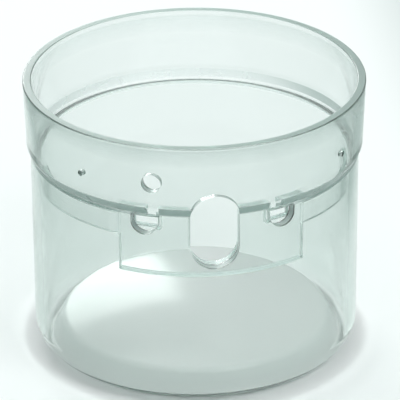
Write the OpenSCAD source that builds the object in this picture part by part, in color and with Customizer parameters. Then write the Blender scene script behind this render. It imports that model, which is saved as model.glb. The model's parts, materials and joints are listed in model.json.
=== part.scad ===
// Round clear queen cage: a moulded cup with a wider collar and bee windows in
// its front, and a curved gate that turns inside it to uncover or screen them.
// The cage stands on its closed end, the front faces -Y and the axis is Z.
// Angles go round the axis from the front, positive towards +X.

/* [Cup] */
// Outer diameter of the open rim
rim_d = 72; // [66:0.5:80]
// Height from the base to the rim
cup_h = 60; // [56:0.5:70]
// Outer diameter of the body at the shoulder
body_d = 69.3; // [66:0.1:69.5]
// Outer diameter that the body wall would have at the base without its rounding
base_d = 68.8; // [65:0.1:69]
// Wall thickness of the collar
collar_wall = 1.8; // [1.4:0.1:2.2]
// Wall thickness of the body
body_wall = 2; // [1.6:0.1:2.4]
// Rounding of the outer base edge
base_round = 5.5; // [5:0.1:5.6]

/* [Floor] */
// Thickness of the domed floor
floor_t = 2; // [1.5:0.1:2.5]
// Height of the middle of the domed floor
floor_top_z = 9.4; // [8:0.1:11]
// Height of the edge of the domed floor
floor_edge_z = 6; // [5:0.1:7]
// Radius of the edge of the domed floor
floor_r = 28.3; // [27.5:0.1:28.8]
// Height of the bottom of the groove round the floor
groove_z = 2; // [1.8:0.1:2.6]
// Radius of the inner side of the groove, at its bottom
groove_r = 30.6; // [30:0.1:31]
// Radius of the mouth of the hollow under the floor
recess_r = 28.2; // [27.5:0.1:28.4]
// Radius at which the side of the hollow meets the dome
recess_edge_r = 26.6; // [25.5:0.1:26.8]

/* [Shoulder] */
// Height of the lower edge of the shoulder
shoulder_z = 44.4; // [43:0.1:46]
// Height that the outer shoulder cone takes
shoulder_h = 1.6; // [1:0.1:3]
// How far the collar stands out from the body at the shoulder
shoulder_step = 0.8; // [0.4:0.1:0.9]
// How far the inner ledge lies below the outer shoulder
ledge_drop = 0.4; // [0.1:0.1:0.6]
// Rounding of the upper edge of the rim
rim_round = 0.4; // [0.2:0.1:0.6]

/* [Windows] */
// Width of the release window
release_w = 10.2; // [8:0.1:12]
// Height of the release window, end to end
release_h = 17; // [14:0.5:18]
// Height of the centre of the release window
release_z = 40.6; // [40:0.1:42]
// Width of a worker window
worker_w = 5.9; // [5:0.1:6.5]
// Height of a worker window, which lets workers through and holds a queen
worker_h = 4.2; // [3.8:0.1:4.4]
// Height of the flat top of the worker windows
worker_top_z = 43.7; // [43:0.1:44]
// Angle from the front to each worker window
worker_angle = 24.4; // [23:0.1:26]
// Diameter of the air hole in the collar
air_d = 4.1; // [3:0.1:4.3]
// Height of the air hole
air_z = 51.7; // [50:0.1:54]
// Angle from the front to the air hole
air_angle = -21.4; // [-30:0.1:30]
// Diameter of the pin holes in the collar
pin_d = 1.2; // [0.8:0.1:1.6]
// Height of the pin holes
pin_z = 50.5; // [49:0.1:54]
// Angle from the front to the left pin hole
pin_left_angle = -48; // [-70:1:-40]
// Angle from the front to the right pin hole
pin_right_angle = 52; // [40:1:70]

/* [Gate] */
// Wall thickness of the gate plate
gate_t = 1.6; // [1.2:0.1:2]
// Angle from the front to each side edge of the gate plate
gate_angle = 35; // [34:0.5:40]
// Height of the bottom edge of the gate plate
gate_bottom_z = 29.5; // [26:0.5:31]
// Height of the top of the gate's lip
gate_top_z = 45; // [44.8:0.1:47]
// Angle from the front to the end of each spring arm
arm_angle = 86; // [80:1:110]
// Wall thickness of the spring arms
arm_t = 1.2; // [0.8:0.1:1.6]
// How far the spring arms are set back from the face of the plate
arm_inset = 0.2; // [0.1:0.1:0.3]
// Height of the bottom edge of the spring arms
arm_bottom_z = 37.7; // [36:0.1:39]
// Height of the top edge of the spring arms
arm_top_z = 42.5; // [41:0.1:44]
// How far the gate's windows stop above the bottom of the cup's windows
gate_sill = 0.8; // [0.5:0.1:1.2]
// Width of the relief slit that opens each worker window of the gate upwards
slit_w = 2.4; // [1.5:0.1:3]
// Angle from the front to each relief slit
slit_angle = 22.4; // [22:0.1:26]
// Air gap between the gate and the cup
gap = 0.15; // [0.1:0.05:0.3]

/* [Hidden] */
$fn = 128;
cup_clear = "#b5cfc8";
gate_clear = "#a9c8bf";
cut = 20;
ledge_z = shoulder_z - ledge_drop;
rim_r = rim_d / 2;
body_r = body_d / 2;
base_r = base_d / 2;
collar_r = body_r + shoulder_step;
// Draft of the body wall and of the collar
body_draft = atan((body_r - base_r) / shoulder_z);
collar_draft = atan((rim_r - collar_r) / (cup_h - shoulder_z - shoulder_h));

// Outer radius of the drafted body wall at a height
function wall_r(z) = base_r + z * tan(body_draft);
// Outer radius of the flared collar at a height
function flare_r(z) = collar_r + (z - shoulder_z - shoulder_h) * tan(collar_draft);
// Inner radius of the body bore at a height
function bore_r(z) = wall_r(z) - body_wall;
// Inner radius of the collar at a height
function mouth_r(z) = flare_r(z) - collar_wall;

// Half section of a drafted mound with a domed top, from its foot to its edge and its top
module mound_section(foot_r, foot_z, edge_r, edge_z, top_z) {
    lean = (foot_r - edge_r) / (edge_z - foot_z);
    ball_r = (edge_r * edge_r + (top_z - edge_z) * (top_z - edge_z)) / (2 * (top_z - edge_z));
    intersection() {
        polygon([
            [0, foot_z - 1],
            [foot_r + lean, foot_z - 1],
            [edge_r - lean * (top_z - edge_z), top_z],
            [0, top_z]
        ]);
        translate([0, top_z - ball_r]) circle(ball_r, $fn = 720);
    }
}

// Solid outer half section of the cup
module cup_outer() {
    centre_x = wall_r(base_round) - base_round / cos(body_draft);
    translate([centre_x, base_round]) circle(base_round);
    polygon([
        [0, 0],
        [centre_x, 0],
        [centre_x, base_round],
        [centre_x + base_round * cos(body_draft), base_round * (1 - sin(body_draft))],
        [wall_r(shoulder_z), shoulder_z],
        [0, shoulder_z]
    ]);
    polygon([
        [0, shoulder_z],
        [wall_r(shoulder_z), shoulder_z],
        [collar_r, shoulder_z + shoulder_h],
        [flare_r(cup_h - rim_round), cup_h - rim_round],
        [flare_r(cup_h) - rim_round, cup_h],
        [0, cup_h]
    ]);
    translate([flare_r(cup_h - rim_round) - rim_round, cup_h - rim_round]) circle(rim_round);
}

// Hollow half section of the cup: the recess under it, the bore, the ledge and the flared mouth
module cup_inner() {
    mound_section(recess_r, 0, recess_edge_r, floor_edge_z - floor_t, floor_top_z - floor_t);
    difference() {
        polygon([
            [0, groove_z],
            [bore_r(groove_z), groove_z],
            [bore_r(ledge_z), ledge_z],
            [0, ledge_z]
        ]);
        mound_section(groove_r, groove_z, floor_r, floor_edge_z, floor_top_z);
    }
    polygon([
        [0, ledge_z],
        [mouth_r(ledge_z), ledge_z],
        [mouth_r(cup_h + 1), cup_h + 1],
        [0, cup_h + 1]
    ]);
}

// Places a shape drawn in XY on the wall, facing outwards at an angle and height
module on_wall(angle, z) {
    rotate([0, 0, angle]) translate([0, 0, z]) rotate([90, 0, 0])
        translate([0, 0, rim_r - cut]) linear_extrude(2 * cut) children();
}

// Upright slot with round ends
module long_slot(w, h) {
    square([w, h - w], center = true);
    for (side = [-1, 1]) translate([0, side * (h - w) / 2]) circle(d = w);
}

// Window with a flat top at the origin and a round bottom
module round_bottom_window(w, h) {
    translate([-w / 2, -(h - w / 2)]) square([w, h - w / 2]);
    intersection() {
        translate([0, -(h - w / 2)]) circle(d = w);
        translate([-w / 2, -h]) square([w, w / 2]);
    }
}

// Clear moulded cup
module cup() {
    color(cup_clear) difference() {
        rotate_extrude() difference() {
            cup_outer();
            cup_inner();
        }
        on_wall(0, release_z) long_slot(release_w, release_h);
        for (side = [-1, 1])
            on_wall(side * worker_angle, worker_top_z) round_bottom_window(worker_w, worker_h);
        for (angle = [pin_left_angle, pin_right_angle])
            on_wall(angle, pin_z) circle(d = pin_d);
        on_wall(air_angle, air_z) circle(d = air_d);
    }
}

// Turns a half section round the axis, from one angle to another
module sweep(from, to) {
    rotate([0, 0, from - 90]) rotate_extrude(angle = to - from) children();
}

// Outer radius of the gate at a height, just inside the bore
function gate_r(z) = bore_r(z) - gap;

// Half section of the gate plate, with the lip that hangs on the ledge inside the collar
module plate_section() {
    lip_z = ledge_z + gap;
    polygon([
        [gate_r(gate_bottom_z) - gate_t, gate_bottom_z],
        [gate_r(gate_bottom_z), gate_bottom_z],
        [gate_r(lip_z), lip_z],
        [mouth_r(lip_z) - gap, lip_z],
        [mouth_r(gate_top_z) - gap, gate_top_z],
        [gate_r(gate_top_z) - gate_t, gate_top_z]
    ]);
}

// Half section of the spring arms, set back a little from the face of the plate
module arm_section() {
    polygon([
        [gate_r(arm_bottom_z) - arm_inset - arm_t, arm_bottom_z],
        [gate_r(arm_bottom_z) - arm_inset, arm_bottom_z],
        [gate_r(arm_top_z) - arm_inset, arm_top_z],
        [gate_r(arm_top_z) - arm_inset - arm_t, arm_top_z]
    ]);
}

// Clear curved gate with spring arms
module gate() {
    color(gate_clear) difference() {
        union() {
            sweep(-gate_angle, gate_angle) plate_section();
            sweep(-arm_angle, arm_angle) arm_section();
        }
        on_wall(0, release_z) long_slot(release_w, release_h);
        for (side = [-1, 1]) {
            sill_z = worker_top_z - worker_h + gate_sill;
            on_wall(side * worker_angle, sill_z)
                translate([-worker_w / 2, 0]) square([worker_w, worker_top_z - sill_z]);
            on_wall(side * slit_angle, worker_top_z)
                translate([-slit_w / 2, -1]) square([slit_w, gate_top_z]);
        }
    }
}

cup();
gate();
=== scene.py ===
"""Looks of the clear queen cage: a finely rounded cup and gate, their plastic, the light and the camera."""

import json
import math

import bmesh
import bpy
from mathutils import Matrix, Vector


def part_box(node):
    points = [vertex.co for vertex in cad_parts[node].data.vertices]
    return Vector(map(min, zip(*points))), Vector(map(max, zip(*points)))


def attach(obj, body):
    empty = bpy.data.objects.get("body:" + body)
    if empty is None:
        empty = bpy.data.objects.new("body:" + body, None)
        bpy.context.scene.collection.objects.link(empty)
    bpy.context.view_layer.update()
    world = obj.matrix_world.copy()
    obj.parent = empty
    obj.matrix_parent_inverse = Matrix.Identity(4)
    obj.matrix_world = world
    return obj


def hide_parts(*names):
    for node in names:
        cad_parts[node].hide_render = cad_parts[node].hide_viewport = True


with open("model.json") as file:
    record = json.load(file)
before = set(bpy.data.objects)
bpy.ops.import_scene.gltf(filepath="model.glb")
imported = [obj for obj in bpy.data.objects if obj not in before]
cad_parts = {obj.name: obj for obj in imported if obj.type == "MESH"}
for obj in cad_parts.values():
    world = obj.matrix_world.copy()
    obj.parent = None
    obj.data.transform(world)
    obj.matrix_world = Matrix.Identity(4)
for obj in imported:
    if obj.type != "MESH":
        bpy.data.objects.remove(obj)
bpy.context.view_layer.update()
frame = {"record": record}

MM = 0.001

# Where the CAD says the top of the cup and the ends of the gate are, in mm
CUP_HIGH = Vector(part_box("cup")[1]) / MM
GATE_LOW, GATE_HIGH = (Vector(corner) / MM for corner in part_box("gate"))
MOUNTS = {mount["name"]: mount for mount in frame["record"]["mounts"]}

# Cup, in mm
CUP_H = CUP_HIGH.z
RIM_R = 36.0
BODY_R = 34.65
BASE_R = 34.4
COLLAR_WALL = 1.8
BODY_WALL = 2.0
BASE_ROUND = 5.5
RECESS_R = 28.2         # mouth of the hollow under the floor
RECESS_EDGE_R = 26.6    # where that hollow meets the domed underside
GROOVE_R = 30.6         # inner side of the groove round the floor
GROOVE_Z = 2.0
FLOOR_T = 2.0
FLOOR_R = 28.3          # edge of the domed floor
FLOOR_EDGE_Z = 6.0
FLOOR_TOP_Z = 9.4
SHOULDER_Z = 44.4
SHOULDER_H = 1.6
SHOULDER_TOP_Z = SHOULDER_Z + SHOULDER_H
COLLAR_R = BODY_R + 0.8
LEDGE_Z = SHOULDER_Z - 0.4
RIM_ROUND = 0.4
EDGE_ROUND = 0.25
FLOOR_ROUND = 2.5
GROOVE_ROUND = 0.9

# Windows, in mm and degrees from the front
RELEASE_W = 10.2
RELEASE_H = 17.0
RELEASE_Z = 40.6
WORKER_W = 5.9
WORKER_H = 4.2
WORKER_TOP_Z = 43.7
WORKER_ANGLE = 24.4
HOLE_ANGLES = {"air_hole": -21.4, "pin_hole_left": -48.0, "pin_hole_right": 52.0}

# Gate, in mm and degrees from the front
GAP = 0.15
GATE_T = 1.6
GATE_ANGLE = 35.0
GATE_TOP_Z = GATE_HIGH.z
GATE_BOTTOM_Z = GATE_LOW.z
GATE_EDGE = 0.12        # rounding of its edges, except for the foot
GATE_FOOT_ROUND = 0.7
GATE_SILL = 0.8
SLIT_W = 2.4
SLIT_ANGLE = 22.4
ARM_T = 1.2
ARM_INSET = 0.2
ARM_ANGLE = 86.0
ARM_BOTTOM_Z = 37.7
ARM_TOP_Z = 42.5

# Meshes
TURN_STEPS = 360        # faces round the whole cup
HOLE_STEPS = 60         # faces round a hole
SLOT_STEPS = 32         # faces round each end of the release window
WINDOW_STEPS = 24       # faces round the bottom of a worker window
WINDOW_MEET = 14        # how far down the round bottom its straight sides run, in degrees
ARC_STEP = math.radians(9)   # turn of each face of a rounded corner
ON_AXIS = 1e-6          # outline points nearer to the axis than this lie on it, in mm
SHARP = math.radians(38)
BEVEL = 0.14            # rounding of every cut edge, in mm
WELD = 0.004            # points nearer to each other than this become one, in mm
CUTTER_ENDS = (20.0, 45.0)   # radii at which a cutter starts and ends, in mm

# Clear plastic: its tint, and the refractive index and density of each slot
TINT = (0.60, 0.71, 0.67)
PLASTIC = {"clear_plastic": (1.5, 180.0), "clear_plastic_gate": (1.4, 80.0)}
HAZE_SCALE = 60
HAZE_ROUGHNESS = 0.05
RIPPLE_SCALE = 90
RIPPLE_STRENGTH = 0.04

# How rough, how clear and what colour each satin area is, and each area where light or shade is painted into
# the colour: the shoulder band at the front, the rim top and the cut edges of the arms are painted shade,
# and the shoulder band at the back is painted light
SATIN_AND_PAINTED_LIGHT = {
    # painted shade: a dark colour on the front of the shoulder band, standing in for the shade seen there
    "shoulder": (0.25, 0.34, (0.27, 0.36, 0.335)),
    # painted light: a pale colour on the back of the shoulder band, keeping it light there
    "shoulder_back_painted_light": (0.25, 0.92, (0.97, 1.0, 1.0)),
    "ledge": (0.35, 0.50, (0.88, 0.96, 0.94)),
    # painted shade: a darker teal on the rim top
    "rim": (0.30, 0.50, (0.56, 0.68, 0.64)),
    "cut": (0.30, 0.50, (0.86, 0.94, 0.92)),
    "floor": (0.14, 0.38, (1.0, 1.0, 1.0)),
    "gate_cut": (0.35, 0.75, (0.92, 0.98, 0.97)),
    # painted shade: a dark colour on the cut edges of the arms
    "arm_cut_painted_shade": (0.30, 0.25, (0.42, 0.52, 0.49)),
}
MASK_EDGE = 0.15       # half the width over which a band of satin, or of painted light or shade, fades in or out, in mm
CLEAR_STRIP = 2.5       # width of the clear strip in front of a relief slit, where the shoulder's painted shade is left out, in mm
CLEAR_ANGLE = 21.0      # its angle from the front
UNDER_SHOULDER = 0.8    # how far the shoulder's painted shade reaches below the shoulder at the cup's sides, in mm
SIDEWAYS = (12, 22)     # distance to the side over which that part of the painted shade fades in, in mm
FRONT_Y = -6            # where the painted shade of the front starts to give way to the painted light of the back, in mm
BACK_Y = 14

# Floor that the cage stands on, in metres from the cage
GROUND_R = 6.0
GROUND_Z = -0.00005
GROUND_PALE = (0.86, 0.87, 0.87, 1)
GROUND_GREY = (0.30, 0.37, 0.35, 1)
FAR_FADE = (0.29, 0.335)     # where the pale floor starts and ends its fade to grey
SIDE_FADE = (0.052, 0.085)   # the same to the left and right, where it only fades by SIDE_SHARE
SIDE_SHARE = 0.6

# Square lamps, all aimed at the cage: name, place and side in metres, and power in watts
LAMPS = (
    ("overhead", (-0.1, 0.1, 1.1), 1.2, 4.5),
    ("key", (0.36, -0.46, 0.80), 0.35, 2.0),
    ("backdrop", (-0.185, 0.93, 0.31), 0.50, 3.6),
)
SKY_LOW = (0.52, 0.60, 0.59, 1)
SKY_HIGH = (0.60, 0.66, 0.65, 1)
SKY_HIGH_AT = 0.8       # height of a direction, from 0 at the horizon to 1, at which the sky is all SKY_HIGH

# Camera, a little left of the front and looking down at the cage from far off, in degrees
CAMERA_AZIMUTH = -6.8
CAMERA_ELEVATION = 24.47
CAMERA_DOWN = 1.725     # how far it looks below the rim's centre
CAMERA_RIGHT = 0.069    # how far it looks to the right of it
CAMERA_ROLL = -0.37
CAMERA_REACH = 24       # its distance from the rim's centre, in rim radii
LENS = 371.4
SENSOR = 36
BOUNCES = 64


def wall_r(z):
    """Outer radius of the body wall at a height."""
    return BASE_R + z * (BODY_R - BASE_R) / SHOULDER_Z


def flare_r(z):
    """Outer radius of the collar at a height."""
    return COLLAR_R + (z - SHOULDER_TOP_Z) * (RIM_R - COLLAR_R) / (CUP_H - SHOULDER_TOP_Z)


def bore_r(z):
    """Inner radius of the body at a height."""
    return wall_r(z) - BODY_WALL


def mouth_r(z):
    """Inner radius of the collar at a height."""
    return flare_r(z) - COLLAR_WALL


def gate_r(z):
    """Outer radius of the gate's plate at a height."""
    return bore_r(z) - GAP


def rounded(corners, closed=True):
    """Turns (r, z, rounding) corners into an outline whose corners are arcs of that rounding."""
    outline = []
    count = len(corners)
    for i, (r, z, rounding) in enumerate(corners):
        here = Vector((r, z))
        if rounding <= 0 or (not closed and i in (0, count - 1)):
            outline.append(here)
            continue
        to_last = (Vector(corners[i - 1][:2]) - here).normalized()
        to_next = (Vector(corners[(i + 1) % count][:2]) - here).normalized()
        half = to_last.angle(to_next) / 2
        middle = here + (to_last + to_next).normalized() * rounding / math.sin(half)
        start = here + to_last * rounding / math.tan(half) - middle
        end = here + to_next * rounding / math.tan(half) - middle
        sweep = start.angle_signed(end)
        steps = max(3, round(abs(sweep) / ARC_STEP))
        for k in range(steps + 1):
            turn = -sweep * k / steps
            x = start.x * math.cos(turn) - start.y * math.sin(turn)
            y = start.x * math.sin(turn) + start.y * math.cos(turn)
            outline.append(middle + Vector((x, y)))
    return outline


def dome(edge_r, edge_z, top_z, steps=10):
    """Outline points of a shallow dome, from inside its edge to its top on the axis."""
    rise = top_z - edge_z
    ball_r = (edge_r ** 2 + rise ** 2) / (2 * rise)
    radii = [edge_r * (1 - k / steps) for k in range(1, steps + 1)]
    return [(r, top_z - ball_r + math.sqrt(ball_r ** 2 - r ** 2), 0) for r in radii]


def new_object(name, bm):
    """Puts a finished bmesh into the scene as an object with its faces turned outwards."""
    bmesh.ops.recalc_face_normals(bm, faces=bm.faces[:])
    mesh = bpy.data.meshes.new(name)
    bm.to_mesh(mesh)
    bm.free()
    obj = bpy.data.objects.new(name, mesh)
    bpy.context.scene.collection.objects.link(obj)
    return obj


def direction(angle):
    """Unit vector that points outwards at an angle in degrees from the front, which is -Y."""
    return Vector((math.sin(math.radians(angle)), -math.cos(math.radians(angle)), 0))


def full_turn(name, outline):
    """Turns an open outline, from the axis round to the axis, into a closed solid."""
    bm = bmesh.new()
    rings = []
    for r, z in outline:
        if r < ON_AXIS:
            rings.append([bm.verts.new((0, 0, z * MM))])
            continue
        ring = []
        for k in range(TURN_STEPS):
            spoke = direction(360 * k / TURN_STEPS) * r
            ring.append(bm.verts.new((spoke.x * MM, spoke.y * MM, z * MM)))
        rings.append(ring)
    for low, high in zip(rings, rings[1:]):
        for k in range(TURN_STEPS):
            corners = [
                low[k % len(low)],
                low[(k + 1) % len(low)],
                high[(k + 1) % len(high)],
                high[k % len(high)],
            ]
            bm.faces.new(list(dict.fromkeys(corners)))
    return new_object(name, bm)


def part_turn(name, outline, first, last):
    """Sweeps a closed outline round the axis between two angles in degrees from the front."""
    steps = max(2, round((last - first) * TURN_STEPS / 360))
    bm = bmesh.new()
    sections = []
    for k in range(steps + 1):
        spoke = direction(first + (last - first) * k / steps)
        sections.append([bm.verts.new((spoke.x * r * MM, spoke.y * r * MM, z * MM)) for r, z in outline])
    count = len(outline)
    for near, far in zip(sections, sections[1:]):
        for i in range(count):
            bm.faces.new([near[i], near[(i + 1) % count], far[(i + 1) % count], far[i]])
    bm.faces.new(sections[0])
    bm.faces.new(sections[-1])
    return new_object(name, bm)


def cutter(angle, z, shape):
    """A long solid of an outline in mm, drawn facing outwards on the wall at an angle and height."""
    outward = direction(angle)
    across = Vector((-outward.y, outward.x, 0))
    bm = bmesh.new()
    ends = []
    for reach in CUTTER_ENDS:
        corners = [outward * reach + across * x + Vector((0, 0, z + y)) for x, y in shape]
        ends.append([bm.verts.new(corner * MM) for corner in corners])
    count = len(shape)
    for i in range(count):
        bm.faces.new([ends[0][i], ends[0][(i + 1) % count], ends[1][(i + 1) % count], ends[1][i]])
    bm.faces.new(ends[0])
    bm.faces.new(ends[1])
    return new_object("cutter", bm)


def arc(cx, cy, r, first, last, steps):
    """Points of an arc round a centre, between two angles in degrees."""
    turns = [math.radians(first + (last - first) * k / steps) for k in range(steps + 1)]
    return [(cx + r * math.cos(t), cy + r * math.sin(t)) for t in turns]


def long_slot(w, h):
    """Upright slot with round ends."""
    reach = (h - w) / 2
    return arc(0, reach, w / 2, 0, 180, SLOT_STEPS) + arc(0, -reach, w / 2, 180, 360, SLOT_STEPS)


def round_bottom(w, h):
    """Window with a flat top at the origin and a round bottom."""
    bottom = arc(0, w / 2 - h, w / 2, 180 + WINDOW_MEET, 360 - WINDOW_MEET, WINDOW_STEPS)
    return [(w / 2, 0), (-w / 2, 0)] + bottom


def block(w, low, high):
    """Rectangle between two heights."""
    return [(w / 2, low), (w / 2, high), (-w / 2, high), (-w / 2, low)]


def combine(obj, other, operation):
    """Applies a boolean with another object, which is then removed."""
    boolean = obj.modifiers.new(operation, "BOOLEAN")
    boolean.operation = operation
    boolean.solver = "EXACT"
    boolean.object = other
    depsgraph = bpy.context.evaluated_depsgraph_get()
    mesh = bpy.data.meshes.new_from_object(obj.evaluated_get(depsgraph))
    old = obj.data
    obj.modifiers.clear()
    obj.data = mesh
    bpy.data.meshes.remove(old)
    bpy.data.objects.remove(other)


def soften(obj):
    """Rounds every cut edge a little and shades the surface smooth."""
    bm = bmesh.new()
    bm.from_mesh(obj.data)
    bmesh.ops.remove_doubles(bm, verts=bm.verts[:], dist=WELD * MM)
    sharp = [e for e in bm.edges if len(e.link_faces) == 2 and e.calc_face_angle() > SHARP]
    bmesh.ops.bevel(
        bm, geom=sharp, offset=BEVEL * MM, offset_type="OFFSET", segments=2, profile=0.5,
        affect="EDGES", clamp_overlap=True,
    )
    bmesh.ops.recalc_face_normals(bm, faces=bm.faces[:])
    bm.to_mesh(obj.data)
    bm.free()
    for polygon in obj.data.polygons:
        polygon.use_smooth = True
    obj.modifiers.new("even_shading", "WEIGHTED_NORMAL").keep_sharp = True


def build_cup():
    """Cup with its windows and holes."""
    outline = rounded(
        [
            *reversed(dome(RECESS_EDGE_R, FLOOR_EDGE_Z - FLOOR_T, FLOOR_TOP_Z - FLOOR_T)),
            (RECESS_EDGE_R, FLOOR_EDGE_Z - FLOOR_T, FLOOR_ROUND),
            (RECESS_R, 0, EDGE_ROUND),
            (BASE_R, 0, BASE_ROUND),
            (BODY_R, SHOULDER_Z, EDGE_ROUND),
            (COLLAR_R, SHOULDER_TOP_Z, EDGE_ROUND),
            (RIM_R, CUP_H, RIM_ROUND),
            (mouth_r(CUP_H), CUP_H, EDGE_ROUND),
            (mouth_r(LEDGE_Z), LEDGE_Z, EDGE_ROUND / 2),
            (bore_r(LEDGE_Z), LEDGE_Z, EDGE_ROUND),
            (bore_r(GROOVE_Z), GROOVE_Z, GROOVE_ROUND),
            (GROOVE_R, GROOVE_Z, GROOVE_ROUND / 2),
            (FLOOR_R, FLOOR_EDGE_Z, FLOOR_ROUND),
            *dome(FLOOR_R, FLOOR_EDGE_Z, FLOOR_TOP_Z),
        ],
        closed=False,
    )
    cup = full_turn("clear_cup", outline)
    combine(cup, cutter(0, RELEASE_Z, long_slot(RELEASE_W, RELEASE_H)), "DIFFERENCE")
    for side in (-1, 1):
        window = round_bottom(WORKER_W, WORKER_H)
        combine(cup, cutter(side * WORKER_ANGLE, WORKER_TOP_Z, window), "DIFFERENCE")
    for name, angle in HOLE_ANGLES.items():
        mount = MOUNTS[name]
        hole = arc(0, 0, mount["dims"]["r_mm"], 0, 360 - 360 / HOLE_STEPS, HOLE_STEPS - 1)
        combine(cup, cutter(angle, mount["pos_m"][2] / MM, hole), "DIFFERENCE")
    return cup


def build_gate():
    """Gate plate with its lip, spring arms, windows and relief slits."""
    lip_z = LEDGE_Z + GAP
    plate = part_turn(
        "clear_gate",
        rounded(
            [
                (gate_r(GATE_BOTTOM_Z) - GATE_T, GATE_BOTTOM_Z, GATE_FOOT_ROUND),
                (gate_r(GATE_BOTTOM_Z), GATE_BOTTOM_Z, GATE_FOOT_ROUND),
                (gate_r(lip_z), lip_z, GATE_EDGE / 2),
                (mouth_r(lip_z) - GAP, lip_z, GATE_EDGE),
                (mouth_r(GATE_TOP_Z) - GAP, GATE_TOP_Z, GATE_EDGE),
                (gate_r(GATE_TOP_Z) - GATE_T, GATE_TOP_Z, GATE_EDGE),
            ]
        ),
        -GATE_ANGLE,
        GATE_ANGLE,
    )
    low, high = gate_r(ARM_BOTTOM_Z) - ARM_INSET, gate_r(ARM_TOP_Z) - ARM_INSET
    arms = part_turn(
        "arms",
        rounded(
            [
                (low - ARM_T, ARM_BOTTOM_Z, GATE_EDGE),
                (low, ARM_BOTTOM_Z, GATE_EDGE),
                (high, ARM_TOP_Z, GATE_EDGE),
                (high - ARM_T, ARM_TOP_Z, GATE_EDGE),
            ]
        ),
        -ARM_ANGLE,
        ARM_ANGLE,
    )
    combine(plate, arms, "UNION")
    combine(plate, cutter(0, RELEASE_Z, long_slot(RELEASE_W, RELEASE_H)), "DIFFERENCE")
    for side in (-1, 1):
        window = block(WORKER_W, GATE_SILL - WORKER_H, 0)
        combine(plate, cutter(side * WORKER_ANGLE, WORKER_TOP_Z, window), "DIFFERENCE")
        slit = block(SLIT_W, -1, GATE_TOP_Z - WORKER_TOP_Z + 1)
        combine(plate, cutter(side * SLIT_ANGLE, WORKER_TOP_Z, slit), "DIFFERENCE")
    return plate


def ramp_node(tree, value, first, last, to_first=0.0, to_last=1.0):
    """Runs from one number to another while a value runs from first to last."""
    node = tree.nodes.new("ShaderNodeMapRange")
    numbers = {"From Min": first, "From Max": last, "To Min": to_first, "To Max": to_last}
    for name, number in numbers.items():
        node.inputs[name].default_value = number
    tree.links.new(value, node.inputs["Value"])
    return node.outputs["Result"]


def math_node(tree, operation, first, second=0.0):
    """One operation on two values, each a number or a socket."""
    node = tree.nodes.new("ShaderNodeMath")
    node.operation = operation
    for socket, value in zip(node.inputs, (first, second)):
        if isinstance(value, (int, float)):
            socket.default_value = value
        else:
            tree.links.new(value, socket)
    return node.outputs["Value"]


def combined(tree, operation, first, *others):
    """The same operation over any number of values."""
    for other in others:
        first = math_node(tree, operation, first, other)
    return first


def band_mask(tree, value, low, high):
    """1 between two values in mm and 0 beyond them, over a short edge."""
    rise = ramp_node(tree, value, low - MASK_EDGE, low + MASK_EDGE)
    fall = ramp_node(tree, value, high + MASK_EDGE, high - MASK_EDGE)
    return math_node(tree, "MULTIPLY", rise, fall)


def clear_strips(tree, x, y):
    """1 in the clear strip in front of each relief slit, where the shoulder's painted shade is left out, and
    0 elsewhere, from x and y in mm.
    """
    strips = []
    for side in (-1, 1):
        angle = math.radians(side * CLEAR_ANGLE)
        across = math_node(
            tree, "ADD",
            math_node(tree, "MULTIPLY", x, math.cos(angle)),
            math_node(tree, "MULTIPLY", y, math.sin(angle)),
        )
        aside = math_node(tree, "ABSOLUTE", across)
        strips.append(ramp_node(tree, aside, CLEAR_STRIP / 2 + 0.1, CLEAR_STRIP / 2 - 0.1))
    front = ramp_node(tree, y, FRONT_Y + 1, FRONT_Y)
    return math_node(tree, "MULTIPLY", combined(tree, "ADD", *strips), front)


def cup_satin_and_painted_light(tree, x, y, z, radius):
    """Where each satin finish of the cup lies, and where shade and light are painted on it, from positions
    in mm.

    A mask starts or stops a few tenths of a mm from the faces beside it, so that they keep their own finish.
    """
    cone = band_mask(tree, z, SHOULDER_Z - 0.1, SHOULDER_TOP_Z + 0.1)
    below = combined(
        tree, "MULTIPLY",
        band_mask(tree, z, SHOULDER_Z - UNDER_SHOULDER, SHOULDER_Z - 0.2),
        ramp_node(tree, math_node(tree, "ABSOLUTE", x), *SIDEWAYS),
    )
    outside = ramp_node(tree, radius, BODY_R - 1.0, BODY_R - 0.9)
    shoulder = math_node(tree, "MULTIPLY", math_node(tree, "MAXIMUM", cone, below), outside)
    body_cuts = combined(
        tree, "MULTIPLY",
        band_mask(tree, radius, BODY_R - BODY_WALL + 0.2, BODY_R - 0.35),
        band_mask(tree, z, RELEASE_Z - RELEASE_H / 2 - 1, LEDGE_Z - 0.2),
    )
    collar_cuts = combined(
        tree, "MULTIPLY",
        band_mask(tree, radius, COLLAR_R - COLLAR_WALL + 0.5, COLLAR_R - 0.1),
        band_mask(tree, z, SHOULDER_TOP_Z + 0.2, CUP_H - 1),
    )
    return {
        # painted shade on the front of the shoulder band, left out in the clear strips in front of the
        # relief slits; painted light on its back
        "shoulder": combined(
            tree, "MULTIPLY", shoulder,
            ramp_node(tree, clear_strips(tree, x, y), 0, 1, 1, 0),
            ramp_node(tree, y, BACK_Y, FRONT_Y),
        ),
        "shoulder_back_painted_light": math_node(tree, "MULTIPLY", shoulder, ramp_node(tree, y, FRONT_Y, BACK_Y)),
        "ledge": combined(
            tree, "MULTIPLY",
            band_mask(tree, radius, BODY_R - BODY_WALL - 0.1, COLLAR_R - COLLAR_WALL),
            band_mask(tree, z, LEDGE_Z - 0.5, LEDGE_Z + 0.05),
        ),
        # painted shade: the rim top made a darker teal
        "rim": ramp_node(tree, z, CUP_H - 0.12, CUP_H - 0.02),
        "cut": math_node(tree, "ADD", body_cuts, collar_cuts),
        "floor": combined(
            tree, "MULTIPLY",
            ramp_node(tree, radius, GROOVE_R + 0.6, GROOVE_R),
            ramp_node(tree, z, FLOOR_TOP_Z + 2, FLOOR_TOP_Z + 1),
        ),
    }


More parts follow.
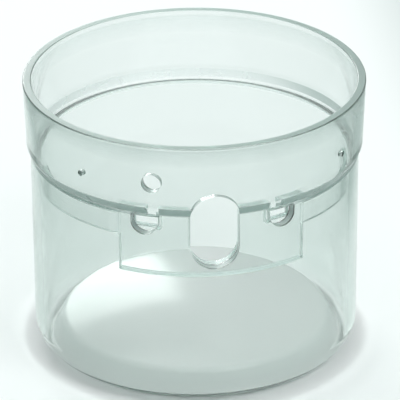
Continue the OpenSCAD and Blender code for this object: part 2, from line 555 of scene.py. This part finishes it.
def gate_satin_and_painted_shade(tree, x, y, z, radius):
    """Where the satin edges of the gate's plate and the painted shade on the edges of its arms lie, from
    positions in mm.
    """
    outer = BODY_R - BODY_WALL - GAP
    arms_start = -25        # y at which the plate ends
    behind = ramp_node(tree, y, arms_start - 0.2, arms_start + 0.2)
    plate = combined(
        tree, "MAXIMUM",
        band_mask(tree, radius, outer - GATE_T + 0.2, outer - 0.35),
        ramp_node(tree, z, GATE_BOTTOM_Z + 0.9, GATE_BOTTOM_Z + 0.7),
        ramp_node(tree, z, LEDGE_Z, LEDGE_Z + GAP),
    )
    arms = band_mask(tree, radius, outer - ARM_INSET - ARM_T + 0.2, outer - 0.35)
    return {
        "gate_cut": math_node(tree, "MULTIPLY", plate, ramp_node(tree, behind, 0, 1, 1, 0)),
        # painted shade: the cut edges of the arms made dark
        "arm_cut_painted_shade": math_node(tree, "MULTIPLY", arms, behind),
    }


def noise_node(tree, place, scale, detail):
    """Factor of a noise over the surface."""
    node = tree.nodes.new("ShaderNodeTexNoise")
    node.inputs["Scale"].default_value = scale
    node.inputs["Detail"].default_value = detail
    tree.links.new(place, node.inputs["Vector"])
    return node.outputs["Fac"]


def tint_node(tree, colour, mask, area_colour):
    """Colour that turns to the colour of a satin area, or of an area of painted light or shade, where a mask
    is 1; white where there is no colour yet.
    """
    mix = tree.nodes.new("ShaderNodeMix")
    mix.data_type = "RGBA"
    first, second = (socket for socket in mix.inputs if socket.type == "RGBA")
    first.default_value = (1, 1, 1, 1)
    second.default_value = (*area_colour, 1)
    tree.links.new(mask, mix.inputs["Factor"])
    if colour is not None:
        tree.links.new(colour, first)
    return next(socket for socket in mix.outputs if socket.type == "RGBA")


def clear_plastic(name, satin_and_painted_light):
    """Clear moulded plastic: a tint that deepens with thickness, flow ripples, haze, satin areas, and areas
    where light and shade are painted into the colour.
    """
    material = bpy.data.materials.new(name)
    material.use_nodes = True
    tree = material.node_tree
    nodes, links = tree.nodes, tree.links
    shader = nodes["Principled BSDF"]
    shader.inputs["IOR"].default_value, density = PLASTIC[name]
    absorb = nodes.new("ShaderNodeVolumeAbsorption")
    absorb.inputs["Color"].default_value = (*TINT, 1)
    absorb.inputs["Density"].default_value = density
    links.new(absorb.outputs["Volume"], nodes["Material Output"].inputs["Volume"])

    place = nodes.new("ShaderNodeTexCoord").outputs["Object"]
    rough = ramp_node(tree, noise_node(tree, place, HAZE_SCALE, 3), 0.35, 0.75, 0.0, HAZE_ROUGHNESS)
    split = nodes.new("ShaderNodeSeparateXYZ")
    links.new(place, split.inputs["Vector"])
    x, y, z = (math_node(tree, "MULTIPLY", split.outputs[axis], 1 / MM) for axis in "XYZ")
    squares = (math_node(tree, "MULTIPLY", side, side) for side in (x, y))
    radius = math_node(tree, "SQRT", combined(tree, "ADD", *squares))
    clearness, colour = 1.0, None
    for finish, mask in satin_and_painted_light(tree, x, y, z, radius).items():
        area_rough, area_clear, area_colour = SATIN_AND_PAINTED_LIGHT[finish]
        rough = math_node(tree, "ADD", rough, math_node(tree, "MULTIPLY", mask, area_rough))
        share = ramp_node(tree, mask, 0.0, 1.0, 1.0, area_clear)
        clearness = math_node(tree, "MULTIPLY", clearness, share)
        colour = tint_node(tree, colour, mask, area_colour)
    links.new(clearness, shader.inputs["Transmission Weight"])
    links.new(colour, shader.inputs["Base Color"])
    links.new(rough, shader.inputs["Roughness"])

    bump = nodes.new("ShaderNodeBump")
    bump.inputs["Strength"].default_value = RIPPLE_STRENGTH
    bump.inputs["Distance"].default_value = MM
    links.new(noise_node(tree, place, RIPPLE_SCALE, 2), bump.inputs["Height"])
    links.new(bump.outputs["Normal"], shader.inputs["Normal"])
    return material


def build_ground():
    """Pale floor under the cage that turns grey far off and to the sides."""
    bm = bmesh.new()
    bmesh.ops.create_circle(bm, cap_ends=True, segments=128, radius=GROUND_R)
    bmesh.ops.translate(bm, verts=bm.verts[:], vec=(0, 0, GROUND_Z))
    floor = new_object("floor", bm)
    material = bpy.data.materials.new("pale_floor")
    material.use_nodes = True
    tree = material.node_tree
    shader = tree.nodes["Principled BSDF"]
    shader.inputs["Roughness"].default_value = 0.9
    shader.inputs["Specular IOR Level"].default_value = 0.1
    place = tree.nodes.new("ShaderNodeTexCoord").outputs["Object"]
    distance = tree.nodes.new("ShaderNodeVectorMath")
    distance.operation = "LENGTH"
    tree.links.new(place, distance.inputs[0])
    split = tree.nodes.new("ShaderNodeSeparateXYZ")
    tree.links.new(place, split.inputs["Vector"])
    aside = math_node(tree, "ABSOLUTE", split.outputs["X"])
    fade = math_node(
        tree, "MAXIMUM",
        ramp_node(tree, distance.outputs["Value"], *FAR_FADE),
        ramp_node(tree, aside, *SIDE_FADE, 0.0, SIDE_SHARE),
    )
    ramp = tree.nodes.new("ShaderNodeValToRGB")
    ramp.color_ramp.interpolation = "EASE"
    ramp.color_ramp.elements[0].color = GROUND_PALE
    ramp.color_ramp.elements[1].color = GROUND_GREY
    tree.links.new(fade, ramp.inputs["Fac"])
    tree.links.new(ramp.outputs["Color"], shader.inputs["Base Color"])
    floor.data.materials.append(material)


def build_lamp(name, position, side, power):
    """Square lamp aimed at the middle of the cage."""
    data = bpy.data.lights.new(name, "AREA")
    data.size = side
    data.energy = power
    lamp = bpy.data.objects.new(name, data)
    bpy.context.scene.collection.objects.link(lamp)
    lamp.location = position
    aim = Vector((0, 0, CUP_H * MM / 2)) - Vector(position)
    lamp.rotation_euler = aim.to_track_quat("-Z", "Y").to_euler()


def build_light():
    """Even sky, a little brighter towards the top, and the lamps."""
    world = bpy.data.worlds.new("studio")
    bpy.context.scene.world = world
    world.use_nodes = True
    tree = world.node_tree
    place = tree.nodes.new("ShaderNodeTexCoord")
    split = tree.nodes.new("ShaderNodeSeparateXYZ")
    ramp = tree.nodes.new("ShaderNodeValToRGB")
    tree.links.new(place.outputs["Generated"], split.inputs["Vector"])
    tree.links.new(split.outputs["Z"], ramp.inputs["Fac"])
    tree.links.new(ramp.outputs["Color"], tree.nodes["Background"].inputs["Color"])
    low, high = ramp.color_ramp.elements
    low.color = SKY_LOW
    high.position = SKY_HIGH_AT
    high.color = SKY_HIGH
    for lamp in LAMPS:
        build_lamp(*lamp)


def build_camera():
    """Camera aimed near the centre of the rim."""
    azimuth, elevation = math.radians(CAMERA_AZIMUTH), math.radians(CAMERA_ELEVATION)
    rim = Vector((0, 0, CUP_H * MM))
    away = Vector((
        math.sin(azimuth) * math.cos(elevation),
        -math.cos(azimuth) * math.cos(elevation),
        math.sin(elevation),
    ))
    data = bpy.data.cameras.new("camera")
    data.sensor_width = SENSOR
    data.lens = LENS
    data.clip_end = 20
    camera = bpy.data.objects.new("camera", data)
    bpy.context.scene.collection.objects.link(camera)
    look = (-away).to_track_quat("-Z", "Y").to_matrix().to_4x4()
    aim = (
        Matrix.Rotation(-math.radians(CAMERA_RIGHT), 4, "Y")
        @ Matrix.Rotation(-math.radians(CAMERA_DOWN), 4, "X")
        @ Matrix.Rotation(math.radians(CAMERA_ROLL), 4, "Z")
    )
    camera.matrix_world = Matrix.Translation(rim + away * CAMERA_REACH * RIM_R * MM) @ look @ aim
    bpy.context.scene.camera = camera


def main():
    scene = bpy.context.scene
    scene.view_settings.view_transform = "Standard"
    scene.cycles.max_bounces = BOUNCES
    scene.cycles.transmission_bounces = BOUNCES
    scene.cycles.glossy_bounces = BOUNCES
    scene.cycles.blur_glossy = 0.0
    build_camera()
    build_light()
    build_ground()

    cup = build_cup()
    gate = build_gate()
    for piece, node, slot, satin_and_painted_light in (
        (cup, "cup", "clear_plastic", cup_satin_and_painted_light),
        (gate, "gate", "clear_plastic_gate", gate_satin_and_painted_shade),
    ):
        soften(piece)
        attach(piece, node)
        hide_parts(node)
        piece.data.materials.clear()
        piece.data.materials.append(clear_plastic(slot, satin_and_painted_light))


main()
